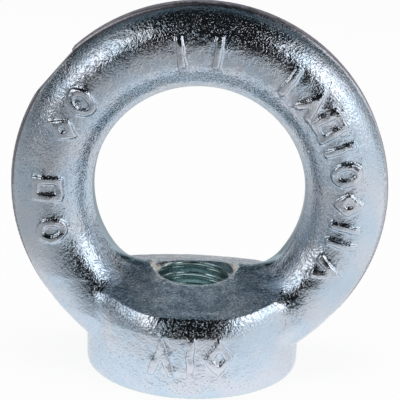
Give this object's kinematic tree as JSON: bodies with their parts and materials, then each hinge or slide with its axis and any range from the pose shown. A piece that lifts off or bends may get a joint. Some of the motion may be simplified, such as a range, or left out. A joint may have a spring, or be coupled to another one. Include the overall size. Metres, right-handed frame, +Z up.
{
  "type": "lifting eye nut",
  "caption": "Forged lifting eye nut: a round ring standing on a short round boss with a tapped through hole.",
  "frame": {"origin": "centre of the seat face, on the thread's axis", "axes": "+Z up the thread's axis towards the ring's crown; the ring stands in the XZ plane, the parting plane of its forging; -Y is the face with the raised marks"},
  "size_m": [0.0538, 0.0316, 0.0529],
  "materials": {
    "zinc_plated_steel": "bright blue-passivated zinc plating over an as-forged steel skin"
  },
  "bodies": {
    "root": {"eye_nut": "zinc_plated_steel"}
  },
  "joints": []
}
